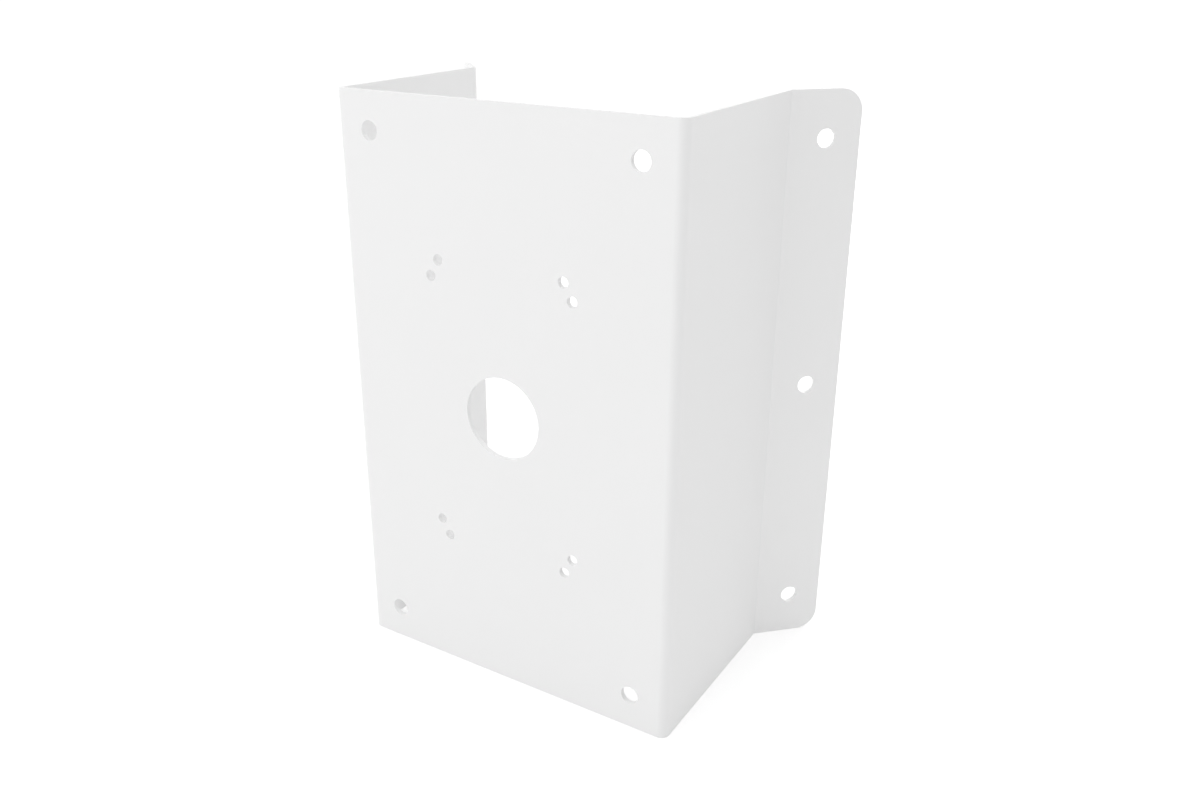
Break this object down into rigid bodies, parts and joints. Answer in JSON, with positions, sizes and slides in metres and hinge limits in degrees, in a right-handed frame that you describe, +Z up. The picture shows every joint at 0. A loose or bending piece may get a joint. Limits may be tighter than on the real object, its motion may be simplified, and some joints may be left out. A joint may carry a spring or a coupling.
{
  "type": "camera corner mount bracket",
  "caption": "Folded sheet-metal channel that carries a security camera on a building's outside corner: drilled front plate, side walls folded back, flanges angled onto the walls.",
  "frame": {"origin": "centre of the cable hole on the front face of the plate", "axes": "+Z up as installed, -Y out of the front plate towards the camera, +X to the right of someone who faces the plate"},
  "size_m": [0.1794, 0.1014, 0.225],
  "materials": {
    "powder_coat": "smooth satin white powder coat on steel sheet"
  },
  "bodies": {
    "root": {"corner_bracket": "powder_coat"}
  },
  "joints": []
}
